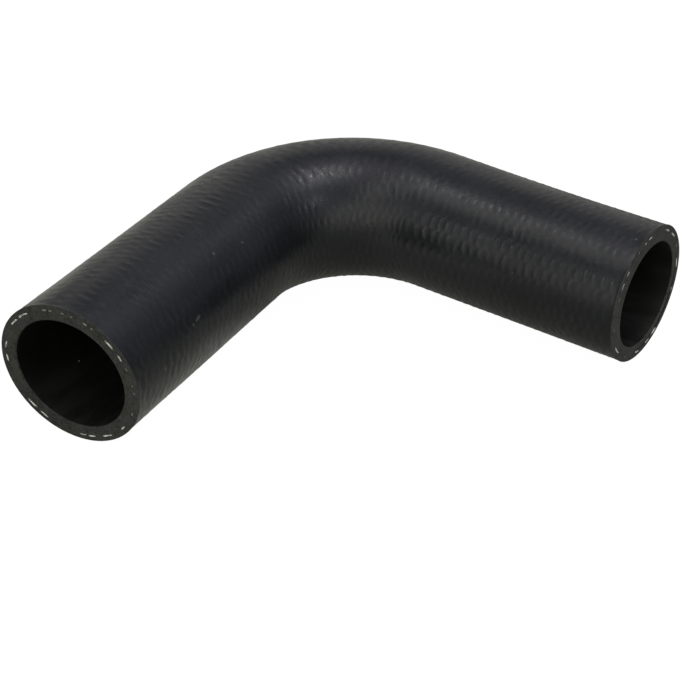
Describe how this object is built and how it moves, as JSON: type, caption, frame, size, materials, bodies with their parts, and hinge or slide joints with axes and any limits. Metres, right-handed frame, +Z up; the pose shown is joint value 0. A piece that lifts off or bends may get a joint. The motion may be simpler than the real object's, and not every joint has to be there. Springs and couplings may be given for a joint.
{
  "type": "radiator hose",
  "caption": "Moulded rubber elbow hose for engine coolant, with a straight leg on each side of a wide smooth bend and a slight taper from the large mouth to the small one.",
  "frame": {"origin": "on the surface that the hose lies on, under the middle of its bounding box", "axes": "+Z up from that surface; +X along the small leg, out of the small mouth; the large leg leaves towards -Y, turned 7 degrees towards +X; the bend's outer side faces -X and +Y"},
  "size_m": [0.138, 0.1552, 0.044],
  "materials": {
    "rubber": "satin blue-black outside, matt grey-brown on the cut faces",
    "yarn": "cut ends of the knitted reinforcement that show in the wall at each mouth"
  },
  "bodies": {
    "root": {"hose": "rubber"}
  },
  "joints": []
}
